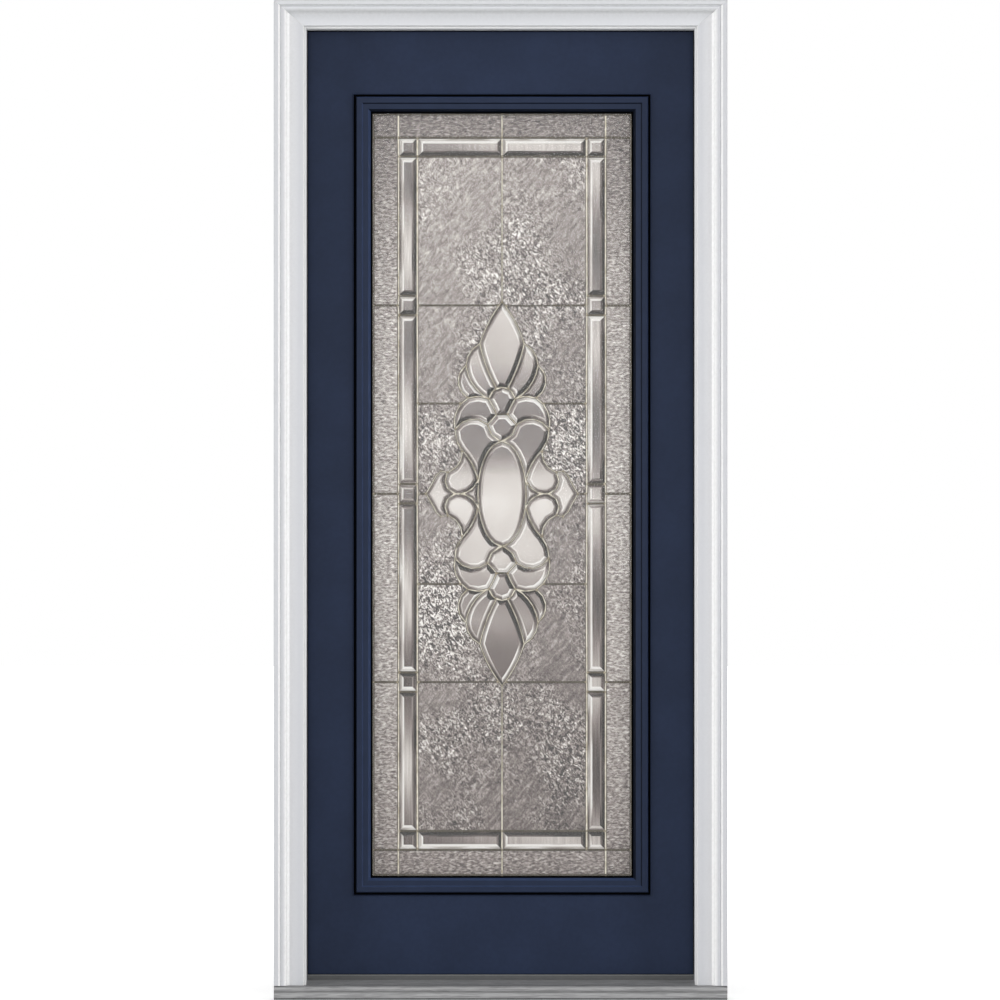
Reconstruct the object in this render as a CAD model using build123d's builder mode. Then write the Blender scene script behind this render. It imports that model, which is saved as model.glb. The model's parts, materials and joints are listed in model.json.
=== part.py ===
from build123d import *
import os

# Prehung fiberglass entry door with a leaded glass lite, seen from outside.
# Millimetres. X runs across the doorway, Y into the house, Z up.
# The origin is the middle of the sill's underside, in the plane of the wall's outer face.

# Whole unit
unit_width = 944.0
unit_height = 2080.0

# Casing round the outside, mitred at the top corners
casing_width = 62.5
head_casing_width = 53.0
casing_depth = 31.75
casing_flat_depth = 18.0
casing_reveal = 4.5
casing_edge = 1.0
casing_flat_width = 29.5
cove_width = 36.0
cove_depth = 26.5
crest_width = 47.0
crest_depth = 29.0
bead_start = 48.0
bead_depth = 27.5
relief_depth = 1.5

# Jambs, rabbeted for an inswing slab
jamb_thickness = 31.75
jamb_depth = 115.9
rabbet_depth = 12.7
kerf_width = 3.0
kerf_depth = 10.0
kerf_edge = 1.5
eased_edge = 1.0

# Sill
sill_nose_y = -30.0
sill_nose_z = 29.0
nose_round = 3.0
nose_bulge = 0.8
nose_bend = 2.5
nose_foot_z = 3.0
deck_rise_y = 59.0
deck_back_z = 36.0
deck_skin = 2.2
rib_count = 7
rib_start = 4.0
rib_pitch = 7.2
rib_width = 2.4
rib_height = 0.9
nose_groove_z = 16.5
cap_top_z = 42.5
cap_lip_z = 46.5
cap_lip_width = 4.0
cap_setback = 2.0
cap_slope = 8.0

# Weatherstrip
bulb_show = 2.3
bulb_round = 2.9
barb_inset = 0.2
fit_gap = 0.5

# Slab
slab_thickness = 44.45
slab_gap = 5.0
skin_thickness = 2.0
stile_width = 32.0
top_rail_height = 32.0
bottom_rail_height = 50.0
stop_gap = 12.0
sweep_drop = 2.0
sweep_inset = 6.0

# Lite: the frames that clamp the glass, and the sealed glass unit
lite_offset = 3.0
lite_z = 1051.0
lite_frame_width = 625.0
lite_frame_height = 1680.0
daylight_width = 547.6
daylight_height = 1608.0
cutout_lap = 14.0
lite_frame_proud = 9.0
outer_lip_width = 1.8
outer_lip_proud = 3.0
groove_end = 6.6
groove_proud = 0.8
crown_start = 8.8
crown_end = 19.5
step_end = 21.5
step_proud = 6.2
slope_start = 32.5
inner_lip_width = 1.3
pane_thickness = 3.2
unit_thickness = 25.4
glass_cover = 12.7
tape_thickness = 1.0
tape_show = 2.2
spacer_inset = 1.5

# Leaded panel inside the sealed unit
pattern_rise = 2.0
came_inset = 5.0
came_depth = 7.0
came_width = 4.8
ornament_came_width = 4.2
texture_glass = 4.0
bevel_glass = 6.0
bevel_edge = 3.4
bevel_width = 8.0
small_bevel_width = 6.0
small_piece_area = 1500.0
perimeter_came_show = 4.0
curve_run = 18.0
shortest_run = 3.0
parallel_limit = 0.99999
width_tolerance = 0.01

# Butt hinges
hinge_height = 101.6
hinge_leaf_thickness = 3.0
hinge_leaf_reach = 40.0
knuckle_count = 5
knuckle_radius = 5.6
knuckle_gap = 0.5
knuckle_clear = 6.2
pin_radius = 3.0
pin_clearance = 0.3
pin_proud = 6.5
hinge_corner = 6.35
top_hinge_drop = 178.0
bottom_hinge_rise = 279.0

# Places worked out from the sizes above
stop_x = unit_width / 2 - casing_width - casing_reveal
rabbet_x = stop_x + rabbet_depth
jamb_x = stop_x + jamb_thickness
head_stop_z = unit_height - head_casing_width - casing_reveal
head_rabbet_z = head_stop_z + rabbet_depth
head_top_z = head_stop_z + jamb_thickness
slab_x = rabbet_x - slab_gap
slab_top = head_rabbet_z - slab_gap
slab_bottom = cap_top_z + slab_gap
slab_back_y = jamb_depth
slab_front_y = slab_back_y - slab_thickness
slab_middle_y = slab_back_y - slab_thickness / 2
slab_height = slab_top - slab_bottom
slab_middle_z = (slab_top + slab_bottom) / 2
rabbet_y = slab_front_y - stop_gap
cutout_width = lite_frame_width - 2 * cutout_lap
cutout_height = lite_frame_height - 2 * cutout_lap
pane_width = daylight_width + 2 * glass_cover
pane_height = daylight_height + 2 * glass_cover
hinge_x = -(rabbet_x + slab_x) / 2
hinge_y = slab_back_y + pin_proud
hinge_levels = {
    "top": slab_top - top_hinge_drop - hinge_height / 2,
    "middle": (slab_top - top_hinge_drop + slab_bottom + bottom_hinge_rise) / 2,
    "bottom": slab_bottom + bottom_hinge_rise + hinge_height / 2,
}

os.makedirs("parts", exist_ok=True)


def save(piece, name):
    """Label a finished piece and write its file."""
    piece.label = name
    export_step(piece, f"parts/{name}.step")


def upright(y, x=0.0, z=0.0):
    """A vertical plane at depth y that faces outdoors, with its own X to the right."""
    return Plane(origin=(x, y, z), x_dir=(1, 0, 0), z_dir=(0, -1, 0))


def side(x=0.0):
    """A vertical plane across the wall at x: its own X runs indoors, its own Y up."""
    return Plane(origin=(x, 0, 0), x_dir=(0, 1, 0), z_dir=(1, 0, 0))


# Sill: a composite block, an aluminium deck over it, and a cap under the slab
def deck_line():
    """The deck's top, from the nose up the slope to the inner edge, as (y, z)."""
    return [
        (sill_nose_y, sill_nose_z - nose_round),
        (sill_nose_y + nose_round, sill_nose_z),
        (0, sill_nose_z),
        (deck_rise_y, deck_back_z),
        (jamb_depth, deck_back_z),
    ]


def nose_line():
    """The front of the nose below its rounded top: two shallow bulges with a groove between them."""
    return [
        (sill_nose_y + nose_bulge, nose_foot_z),
        (sill_nose_y, nose_foot_z + nose_bend),
        (sill_nose_y, nose_groove_z - nose_bend),
        (sill_nose_y + nose_bulge, nose_groove_z),
        (sill_nose_y, nose_groove_z + nose_bend),
    ]


def cut_sill_ears():
    """Take the sill back to the jambs' outer faces where it runs into the wall."""
    ear = unit_width / 2 - jamb_x
    with Locations([(sign * (jamb_x + ear / 2), jamb_depth / 2, deck_back_z / 2) for sign in (-1, 1)]):
        Box(ear, jamb_depth, deck_back_z, mode=Mode.SUBTRACT)


def make_sill():
    nose, crown, foot, back, inner = deck_line()
    with BuildPart() as block:
        with BuildSketch(side()):
            with BuildLine():
                Polyline(
                    (sill_nose_y + deck_skin, 0),
                    (sill_nose_y + deck_skin, nose[1] - deck_skin / 2),
                    (crown[0] + deck_skin / 2, crown[1] - deck_skin),
                    (foot[0], foot[1] - deck_skin),
                    (back[0], back[1] - deck_skin),
                    (inner[0], inner[1] - deck_skin),
                    (inner[0], 0),
                    close=True,
                )
            make_face()
        extrude(amount=unit_width / 2, both=True)
        cut_sill_ears()
    save(block.part, "sill_block")

    with BuildPart() as deck:
        with BuildSketch(side()):
            with BuildLine():
                Polyline(
                    *nose_line(),
                    nose,
                    crown,
                    foot,
                    back,
                    inner,
                    (inner[0], inner[1] - deck_skin),
                    (back[0], back[1] - deck_skin),
                    (foot[0], foot[1] - deck_skin),
                    (crown[0] + deck_skin / 2, crown[1] - deck_skin),
                    (sill_nose_y + deck_skin, nose[1] - deck_skin / 2),
                    (sill_nose_y + deck_skin, nose_foot_z),
                    close=True,
                )
            make_face()
        extrude(amount=unit_width / 2, both=True)
        cut_sill_ears()
        slope = (back[1] - foot[1]) / (back[0] - foot[0])
        with BuildSketch(side()):
            for index in range(rib_count):
                y = rib_start + index * rib_pitch
                z = foot[1] + slope * y
                with BuildLine():
                    Polyline((y, z), (y + rib_width / 2, z + rib_height), (y + rib_width, z), close=True)
                make_face()
        extrude(amount=stop_x - eased_edge, both=True)
    save(deck.part, "sill_deck")

    cap_front = rabbet_y + fit_gap
    with BuildPart() as cap:
        with BuildSketch(side()):
            with BuildLine():
                Polyline(
                    (cap_front, deck_back_z),
                    (cap_front, cap_lip_z - eased_edge),
                    (cap_front + eased_edge, cap_lip_z),
                    (cap_front + cap_lip_width, cap_lip_z),
                    (cap_front + cap_lip_width + cap_setback, cap_top_z),
                    (jamb_depth - cap_slope, cap_top_z),
                    (jamb_depth - cap_setback, deck_back_z),
                    close=True,
                )
            make_face()
        extrude(amount=rabbet_x - fit_gap, both=True)
    save(cap.part, "sill_cap")


# Jambs with their kerfs for the weatherstrip
def jamb_section(sign):
    """Plan outline of a side jamb; sign is -1 for the hinge side and 1 for the latch side."""
    kerf_x = rabbet_x - kerf_width - kerf_edge
    Polyline(
        (sign * stop_x, eased_edge),
        (sign * (stop_x + eased_edge), 0),
        (sign * jamb_x, 0),
        (sign * jamb_x, jamb_depth),
        (sign * rabbet_x, jamb_depth),
        (sign * rabbet_x, rabbet_y),
        (sign * (kerf_x + kerf_width), rabbet_y),
        (sign * (kerf_x + kerf_width), rabbet_y - kerf_depth),
        (sign * kerf_x, rabbet_y - kerf_depth),
        (sign * kerf_x, rabbet_y),
        (sign * (stop_x + eased_edge), rabbet_y),
        (sign * stop_x, rabbet_y - eased_edge),
        close=True,
    )


def make_jambs():
    _, crown, foot, back, inner = deck_line()
    for sign, name in ((-1, "hinge_jamb"), (1, "latch_jamb")):
        with BuildPart() as jamb:
            with BuildSketch(Plane.XY):
                with BuildLine():
                    jamb_section(sign)
                make_face()
            extrude(amount=head_top_z)
            with BuildSketch(side(sign * (jamb_x + stop_x) / 2)):
                with BuildLine():
                    past_y = inner[0] + eased_edge
                    Polyline((crown[0], 0), crown, foot, back, (past_y, inner[1]), (past_y, 0), close=True)
                make_face()
            extrude(amount=jamb_thickness, both=True, mode=Mode.SUBTRACT)
            if sign < 0:
                for level in hinge_levels.values():
                    cut_mortise(-rabbet_x - hinge_leaf_thickness / 2, level)
        save(jamb.part, name)

    kerf_z = head_rabbet_z - kerf_width - kerf_edge
    with BuildPart() as head:
        with BuildSketch(side()):
            Rectangle(rabbet_y, jamb_thickness, align=Align.MIN)
        extrude(amount=stop_x, both=True)
        with BuildSketch(side()):
            with Locations((rabbet_y, rabbet_depth)):
                Rectangle(jamb_depth - rabbet_y, jamb_thickness - rabbet_depth, align=Align.MIN)
        extrude(amount=rabbet_x, both=True)
        with BuildSketch(side()):
            with Locations((rabbet_y - kerf_depth, kerf_z - head_stop_z)):
                Rectangle(kerf_depth, kerf_width, align=Align.MIN)
        extrude(amount=stop_x, both=True, mode=Mode.SUBTRACT)
    save(Pos(0, 0, head_stop_z) * head.part, "head_jamb")


# Casing: one moulded section, run up each side and across the head
def casing_outline(width):
    """Section of the casing as (distance from its inner edge, depth out from the wall)."""
    step = width / casing_width
    with BuildLine() as outline:
        Polyline(
            (0, 0),
            (0, casing_flat_depth - casing_edge),
            (casing_edge * step, casing_flat_depth),
            (casing_flat_width * step, casing_flat_depth),
        )
        RadiusArc((casing_flat_width * step, casing_flat_depth), (cove_width * step, cove_depth), -9 * step)
        RadiusArc((cove_width * step, cove_depth), (crest_width * step, crest_depth), 16 * step)
        Polyline(
            (crest_width * step, crest_depth),
            (bead_start * step, bead_depth),
            ((bead_start + 1.5) * step, bead_depth),
            ((bead_start + 2.5) * step, casing_depth - 1.5),
            ((bead_start + 5) * step, casing_depth),
            ((casing_width - 2) * step, casing_depth),
            (width, casing_depth - 2),
            (width, 0),
            ((cove_width + casing_edge) * step, 0),
            (cove_width * step, relief_depth),
            (jamb_thickness - casing_reveal, relief_depth),
            (jamb_thickness - casing_reveal, 0),
            (0, 0),
        )
    return outline.line


def make_casing():
    inner_x = stop_x + casing_reveal
    inner_z = head_stop_z + casing_reveal
    rise = head_casing_width / casing_width
    for sign, name in ((-1, "casing_left"), (1, "casing_right")):
        leg_plane = Plane(origin=(sign * inner_x, 0, sill_nose_z), x_dir=(sign, 0, 0), z_dir=(0, 0, sign))
        with BuildPart() as leg:
            with BuildSketch(leg_plane):
                with BuildLine():
                    add(casing_outline(casing_width).mirror(Plane.XZ))
                make_face()
            extrude(amount=sign * (unit_height - sill_nose_z))
            mitre = Plane(origin=(sign * inner_x, 0, inner_z), x_dir=(0, 1, 0), z_dir=(-sign * rise, 0, 1))
            split(bisect_by=mitre, keep=Keep.BOTTOM)
        save(leg.part, name)

    head_plane = Plane(origin=(0, 0, inner_z), x_dir=(0, 0, 1), z_dir=(1, 0, 0))
    with BuildPart() as head:
        with BuildSketch(head_plane):
            with BuildLine():
                add(casing_outline(head_casing_width))
            make_face()
        extrude(amount=unit_width / 2, both=True)
        for sign in (-1, 1):
            mitre = Plane(origin=(sign * inner_x, 0, inner_z), x_dir=(0, 1, 0), z_dir=(-sign * rise, 0, 1))
            split(bisect_by=mitre, keep=Keep.TOP)
    save(head.part, "casing_head")


# Weatherstrip: a foam bulb with a barb in the jamb's kerf
def make_weatherstrips():
    bulb_depth = stop_gap - slab_gap
    bulb_width = rabbet_depth - fit_gap + bulb_show
    bulb_x = rabbet_x - fit_gap - bulb_width / 2
    bulb_z = head_rabbet_z - fit_gap - bulb_width / 2
    barb_offset = kerf_edge + kerf_width / 2
    for sign, name in ((-1, "weatherstrip_hinge_side"), (1, "weatherstrip_latch_side")):
        barb_x = sign * (rabbet_x - barb_offset)
        with BuildPart() as strip:
            with BuildSketch(Plane.XY.offset(cap_lip_z + fit_gap)):
                with Locations((sign * bulb_x, rabbet_y + bulb_depth / 2)):
                    RectangleRounded(bulb_width, bulb_depth, bulb_round)
                with Locations((barb_x, rabbet_y - kerf_depth / 2 + barb_inset)):
                    Rectangle(kerf_width - 2 * barb_inset, kerf_depth)
            extrude(amount=head_stop_z - bulb_show - cap_lip_z - fit_gap)
        save(strip.part, name)

    with BuildPart() as strip:
        with BuildSketch(side()):
            with Locations((rabbet_y + bulb_depth / 2, bulb_z)):
                RectangleRounded(bulb_depth, bulb_width, bulb_round)
            with Locations((rabbet_y - kerf_depth / 2 + barb_inset, head_rabbet_z - barb_offset)):
                Rectangle(kerf_depth, kerf_width - 2 * barb_inset)
        extrude(amount=stop_x, both=True)
    save(strip.part, "weatherstrip_head")


# Hinges
def leaf_blank(x, level, reach, mode=Mode.ADD):
    """A hinge leaf's plate, round at its two buried corners, ending at reach past the slab's face."""
    length = hinge_leaf_reach + reach
    with BuildSketch(side(x - hinge_leaf_thickness / 2)) as plate:
        with Locations((slab_back_y - hinge_leaf_reach + length / 2, level)):
            outline = Rectangle(length, hinge_height)
        fillet(outline.vertices().group_by(Axis.X)[0], hinge_corner)
    extrude(plate.sketch, amount=hinge_leaf_thickness, mode=mode)


def cut_mortise(x, level):
    """Recess for one hinge leaf, open at the inner face."""
    leaf_blank(x, level, 0, Mode.SUBTRACT)


def make_hinges():
    knuckle = hinge_height / knuckle_count
    jamb_leaf_x = -rabbet_x - hinge_leaf_thickness / 2
    slab_leaf_x = -slab_x + hinge_leaf_thickness / 2
    for place, level in hinge_levels.items():
        for owner, leaf_x, parity in (("jamb", jamb_leaf_x, 0), ("slab", slab_leaf_x, 1)):
            heights = [level + knuckle * (index - (knuckle_count - 1) / 2) for index in range(knuckle_count)]
            own = heights[parity::2]
            others = heights[1 - parity :: 2]
            with BuildPart() as leaf:
                leaf_blank(leaf_x, level, pin_proud)
                with Locations([(leaf_x, hinge_y, height) for height in others]):
                    Box(hinge_leaf_thickness, 2 * knuckle_clear, knuckle + knuckle_gap, mode=Mode.SUBTRACT)
                with Locations([(hinge_x, hinge_y, height) for height in own]):
                    Cylinder(knuckle_radius, knuckle - knuckle_gap)
                with Locations((hinge_x, hinge_y, level)):
                    if owner == "jamb":
                        Cylinder(pin_radius, hinge_height - knuckle)
                    else:
                        Cylinder(pin_radius + pin_clearance, hinge_height, mode=Mode.SUBTRACT)
            save(leaf.part, f"hinge_leaf_{owner}_{place}")


# Slab: two skins over wood stiles and rails, with a foam core round the glass
def cut_lite(depth):
    """The opening for the lite, through whatever was just made at depth y."""
    with BuildSketch(upright(depth + slab_thickness, lite_offset, lite_z)) as opening:
        Rectangle(cutout_width, cutout_height)
    extrude(opening.sketch, amount=3 * slab_thickness, mode=Mode.SUBTRACT)


def make_slab():
    for name, depth in (("skin_outer", slab_front_y + skin_thickness), ("skin_inner", slab_back_y)):
        with BuildPart() as skin:
            with BuildSketch(upright(depth, 0, slab_middle_z)):
                Rectangle(2 * slab_x, slab_height)
            extrude(amount=skin_thickness)
            cut_lite(depth)
            if name == "skin_inner":
                for level in hinge_levels.values():
                    cut_mortise(-slab_x + hinge_leaf_thickness / 2, level)
        save(skin.part, name)

    core_front = slab_front_y + skin_thickness
    core_depth = slab_thickness - 2 * skin_thickness
    core_back = upright(core_front + core_depth, 0, slab_middle_z)
    for sign, name in ((-1, "stile_hinge"), (1, "stile_latch")):
        with BuildPart() as stile:
            with BuildSketch(core_back):
                with Locations((sign * (slab_x - stile_width / 2), 0)):
                    Rectangle(stile_width, slab_height)
            extrude(amount=core_depth)
            if sign < 0:
                for level in hinge_levels.values():
                    cut_mortise(-slab_x + hinge_leaf_thickness / 2, level)
        save(stile.part, name)

    for name, height, edge in (
        ("rail_top", top_rail_height, slab_height / 2 - top_rail_height / 2),
        ("rail_bottom", bottom_rail_height, -slab_height / 2 + bottom_rail_height / 2),
    ):
        with BuildPart() as rail:
            with BuildSketch(core_back):
                with Locations((0, edge)):
                    Rectangle(2 * (slab_x - stile_width), height)
            extrude(amount=core_depth)
        save(rail.part, name)

    with BuildPart() as core:
        core_height = slab_height - top_rail_height - bottom_rail_height
        with BuildSketch(core_back):
            with Locations((0, (bottom_rail_height - top_rail_height) / 2)):
                Rectangle(2 * (slab_x - stile_width), core_height)
        extrude(amount=core_depth)
        cut_lite(core_front)
    save(core.part, "foam_core")

    with BuildPart() as sweep_strip:
        with Locations((0, slab_middle_y, slab_bottom - sweep_drop / 2)):
            Box(2 * (slab_x - eased_edge), slab_thickness - 2 * sweep_inset, sweep_drop)
    save(sweep_strip.part, "door_sweep")


# Lite frames: a moulded ring on each face, clamped over the sealed glass unit
def make_lite_frames():
    bar = (lite_frame_width - daylight_width) / 2
    seat = (slab_thickness - unit_thickness) / 2
    start = (lite_offset - lite_frame_width / 2, slab_front_y, lite_z)
    with BuildPart() as frame:
        with BuildLine(upright(slab_front_y, lite_offset, lite_z)):
            Polyline(
                (-lite_frame_width / 2, 0),
                (-lite_frame_width / 2, lite_frame_height / 2),
                (lite_frame_width / 2, lite_frame_height / 2),
                (lite_frame_width / 2, -lite_frame_height / 2),
                (-lite_frame_width / 2, -lite_frame_height / 2),
                close=True,
            )
        with BuildSketch(Plane(origin=start, x_dir=(1, 0, 0), z_dir=(0, 0, 1))):
            with BuildLine():
                Polyline(
                    (0, 0),
                    (0, 0.8 - outer_lip_proud),
                    (0.8, -outer_lip_proud),
                    (outer_lip_width, -outer_lip_proud),
                    (outer_lip_width + 0.4, -groove_proud),
                    (groove_end, -groove_proud),
                    (groove_end + 0.6, 1 - lite_frame_proud),
                    (crown_start, -lite_frame_proud),
                    (crown_end, -lite_frame_proud),
                    (step_end, -step_proud),
                    (slope_start, -step_proud),
                    (bar - inner_lip_width, 0),
                    (bar, 0.6),
                    (bar, seat - tape_thickness),
                    (cutout_lap + 1, seat - tape_thickness),
                    (cutout_lap + 1, 0),
                    close=True,
                )
            make_face()
        sweep(transition=Transition.RIGHT)
    save(frame.part, "lite_frame_outer")
    save(frame.part.mirror(Plane.XZ.offset(-slab_middle_y)), "lite_frame_inner")


# Sealed unit: two clear panes bedded on tape, the spacers, and the leaded panel between them
def make_panes():
    front = slab_middle_y - unit_thickness / 2
    for name, depth in (
        ("pane_outer", front + pane_thickness),
        ("pane_inner", front + unit_thickness),
    ):
        with BuildPart() as pane:
            with BuildSketch(upright(depth, lite_offset, lite_z)):
                Rectangle(pane_width, pane_height)
            extrude(amount=pane_thickness)
        save(pane.part, name)

    with BuildPart() as tape:
        for depth in (front, front + unit_thickness + tape_thickness):
            with BuildSketch(upright(depth, lite_offset, lite_z)):
                Rectangle(pane_width, pane_height)
                Rectangle(daylight_width - 2 * tape_show, daylight_height - 2 * tape_show, mode=Mode.SUBTRACT)
            extrude(amount=tape_thickness)
    save(tape.part, "glazing_tape")

    spacer_depth = (unit_thickness - 2 * pane_thickness - came_depth) / 2
    spacer_width = glass_cover - spacer_inset
    with BuildPart() as spacers:
        for depth in (front + pane_thickness + spacer_depth, front + unit_thickness - pane_thickness):
            with BuildSketch(upright(depth, lite_offset, lite_z)):
                Rectangle(pane_width, pane_height)
                Rectangle(pane_width - 2 * spacer_width, pane_height - 2 * spacer_width, mode=Mode.SUBTRACT)
            extrude(amount=spacer_depth)
    save(spacers.part, "glazing_spacers")


# Leaded pattern, measured from its own middle
column_outer = 217.3
column_inner = 177.4
row_outer = 746.6
row_inner = 707.1
level_tip = 394.9
level_scroll = 189.2
tip_side = 8.0
scroll_side = 84.0
square_half = 20.4
oval_half_width = 50.5
oval_half_height = 109.5

# Points of the ornament's upper right quarter
tip = (0, 402.6)
bud_corner = (46.5, 315)
bud_foot = (11.3, 220.5)
petal_joint = (75.5, 270)
scroll_joint = (71, 200.5)
throat = (27.5, 199)
crown = (0, 223.3)
waist = (11.5, 166.5)
jewel_corner = (30.4, 145)
jewel_foot = (2.5, 110.5)
ear_joint = (98.6, 134)
drop_tip = (84, 92)
oval_touch = (50.4, 29)
drop_shoulder = (113.5, 45)
drop_foot = (88, 0)
wing_bend = (138, 39)
wing_tip = (159.7, 0)

# Cames of that quarter: joints and, between each two, a point that the arc passes through
ornament_cames = [
    [tip, (27, 362), bud_corner, (65, 300), petal_joint, (92, 240), scroll_joint, (95, 174), ear_joint],
    [ear_joint, (95.5, 112), drop_tip, (91, 62), drop_shoulder, (127, 48), wing_bend, (148, 19), wing_tip],
    [bud_corner, (31, 262), bud_foot],
    [petal_joint, (65, 236), throat],
    [scroll_joint, (49, 204), throat],
    [throat, (19, 184), waist, (20.5, 155.8), jewel_corner, (24, 127), jewel_foot],
    [ear_joint, (67, 156), jewel_corner],
    [drop_tip, (64, 65.5), oval_touch],
    [drop_shoulder, (118.5, 20), drop_foot, (64, 9), oval_touch],
]


def panel_plane(depth):
    """Plane of the leaded panel at a depth from its middle, towards the outside."""
    return upright(slab_middle_y - depth, lite_offset, lite_z + pattern_rise)


def straight_came(start, end, width):
    """One straight came in the open sketch, along X or Y."""
    middle = ((start[0] + end[0]) / 2, (start[1] + end[1]) / 2)
    length = abs(end[0] - start[0]) + abs(end[1] - start[1])
    with Locations(middle):
        if start[0] == end[0]:
            Rectangle(width, length)
        else:
            Rectangle(length, width)


def came_sketch():
    """All the cames in the panel's own plane."""
    edge_x = pane_width / 2 - came_inset
    edge_z = pane_height / 2 - came_inset
    with BuildSketch() as cames:
        with Locations((0, -pattern_rise)):
            Rectangle(pane_width, pane_height)
            Rectangle(
                daylight_width - 2 * perimeter_came_show,
                daylight_height - 2 * perimeter_came_show,
                mode=Mode.SUBTRACT,
            )
        for sign in (-1, 1):
            straight_came((sign * column_outer, -edge_z), (sign * column_outer, edge_z), came_width)
            straight_came((sign * column_inner, -row_outer), (sign * column_inner, row_outer), came_width)
            straight_came((-edge_x, sign * row_outer), (edge_x, sign * row_outer), came_width)
            straight_came((-column_outer, sign * row_inner), (column_outer, sign * row_inner), came_width)
            straight_came((0, sign * tip[1]), (0, sign * edge_z), ornament_came_width)
            for level in (-level_tip, 0, level_tip):
                straight_came((sign * column_outer, level), (sign * edge_x, level), came_width)
                for rise in (-square_half, square_half):
                    straight_came(
                        (sign * column_inner, level + rise), (sign * column_outer, level + rise), came_width
                    )
            straight_came((sign * column_inner, 0), (sign * wing_tip[0], 0), ornament_came_width)
            for level, reach in (
                (level_tip, tip_side),
                (-level_tip, tip_side),
                (level_scroll, scroll_side),
                (-level_scroll, scroll_side),
            ):
                straight_came((sign * column_inner, level), (sign * reach, level), ornament_came_width)
        for sign in (-1, 1):
            straight_came((-waist[0], sign * waist[1]), (waist[0], sign * waist[1]), ornament_came_width)
            springs = [(across * throat[0], sign * throat[1]) for across in (-1, 1)]
            trace(ThreePointArc(springs[0], (crown[0], sign * crown[1]), springs[1]), ornament_came_width)
        Ellipse(oval_half_width + ornament_came_width / 2, oval_half_height + ornament_came_width / 2)
        Ellipse(
            oval_half_width - ornament_came_width / 2,
            oval_half_height - ornament_came_width / 2,
            mode=Mode.SUBTRACT,
        )
        for chain in ornament_cames:
            for across in (-1, 1):
                for up in (-1, 1):
                    points = [(across * x, up * z) for x, z in chain]
                    for first in range(0, len(points) - 2, 2):
                        trace(ThreePointArc(*points[first : first + 3]), ornament_came_width)
    return cames.sketch


# A point inside each kind of piece, in the upper right quarter
ornament_pieces = {
    "glass_buds": [(0, 330)],
    "glass_petals": [(52, 270), (76, 226)],
    "glass_scrolls": [(66, 180), (70, 115)],
    "glass_jewels": [(0, 200), (0, 138)],
    "glass_oval": [(0, 0)],
    "glass_drops": [(88, 34)],
    "glass_wings": [(136, 4), (57, 1)],
}


def corners_of(face):
    """The corners of a straight-sided face, anticlockwise."""
    corners = [edge.position_at(0) for edge in face.outer_wire().order_edges()]
    turn = sum(before.cross(corner).Z for before, corner in zip([corners[-1]] + corners, corners))
    return corners if turn > 0 else corners[::-1]


def lies_beside(run, flat_run, width):
    """Whether a run of the flat is parallel to a run of the outline and one bevel away from it."""
    along = (run[1] - run[0]).normalized()
    flat_along = (flat_run[1] - flat_run[0]).normalized()
    away = along.cross(flat_run[0] - run[0]).Z
    return along.dot(flat_along) > parallel_limit and abs(away - width) < width_tolerance


def bevelled_piece(outline):
    """A thick piece of glass, its upper side ground to a bevel all round that leaves a flat in the middle.

    Each run of the outline has a facet. The facet ends in a point where the bevels beside it meet first.
    """
    width = small_bevel_width if outline.area < small_piece_area else bevel_width
    rim = corners_of(outline)
    flat = corners_of(offset(outline, amount=-width, kind=Kind.INTERSECTION).face())
    while not lies_beside(rim, flat, width):
        rim = rim[1:] + rim[:1]
    edge = Vector(0, 0, bevel_edge)
    crest = Vector(0, 0, bevel_glass)
    faces = [rim[::-1], [corner + crest for corner in flat]]
    reached = 0
    for start, end in zip(rim, rim[1:] + rim[:1]):
        flat_run = (flat[reached % len(flat)], flat[(reached + 1) % len(flat)])
        faces.append([start, end, end + edge, start + edge])
        if reached < len(flat) and lies_beside((start, end), flat_run, width):
            faces.append([start + edge, end + edge, flat_run[1] + crest, flat_run[0] + crest])
            reached += 1
        else:
            faces.append([start + edge, end + edge, flat_run[0] + crest])
    return Solid(Shell([Face(Wire.make_polygon(corners)) for corners in faces]))


def cut_outline(face):
    """The face with its curved edges ground as short straight runs, and no run shorter than the shortest."""
    corners = []
    for edge in face.outer_wire().order_edges():
        runs = 1 if edge.geom_type == GeomType.LINE else max(2, round(edge.length / curve_run))
        corners += [edge.position_at(step / runs) for step in range(runs)]
    befores = corners[-1:] + corners[:-1]
    spaced = [corner for before, corner in zip(befores, corners) if (corner - before).length > shortest_run]
    return make_face(Polyline(*spaced, close=True)).face()


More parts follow.
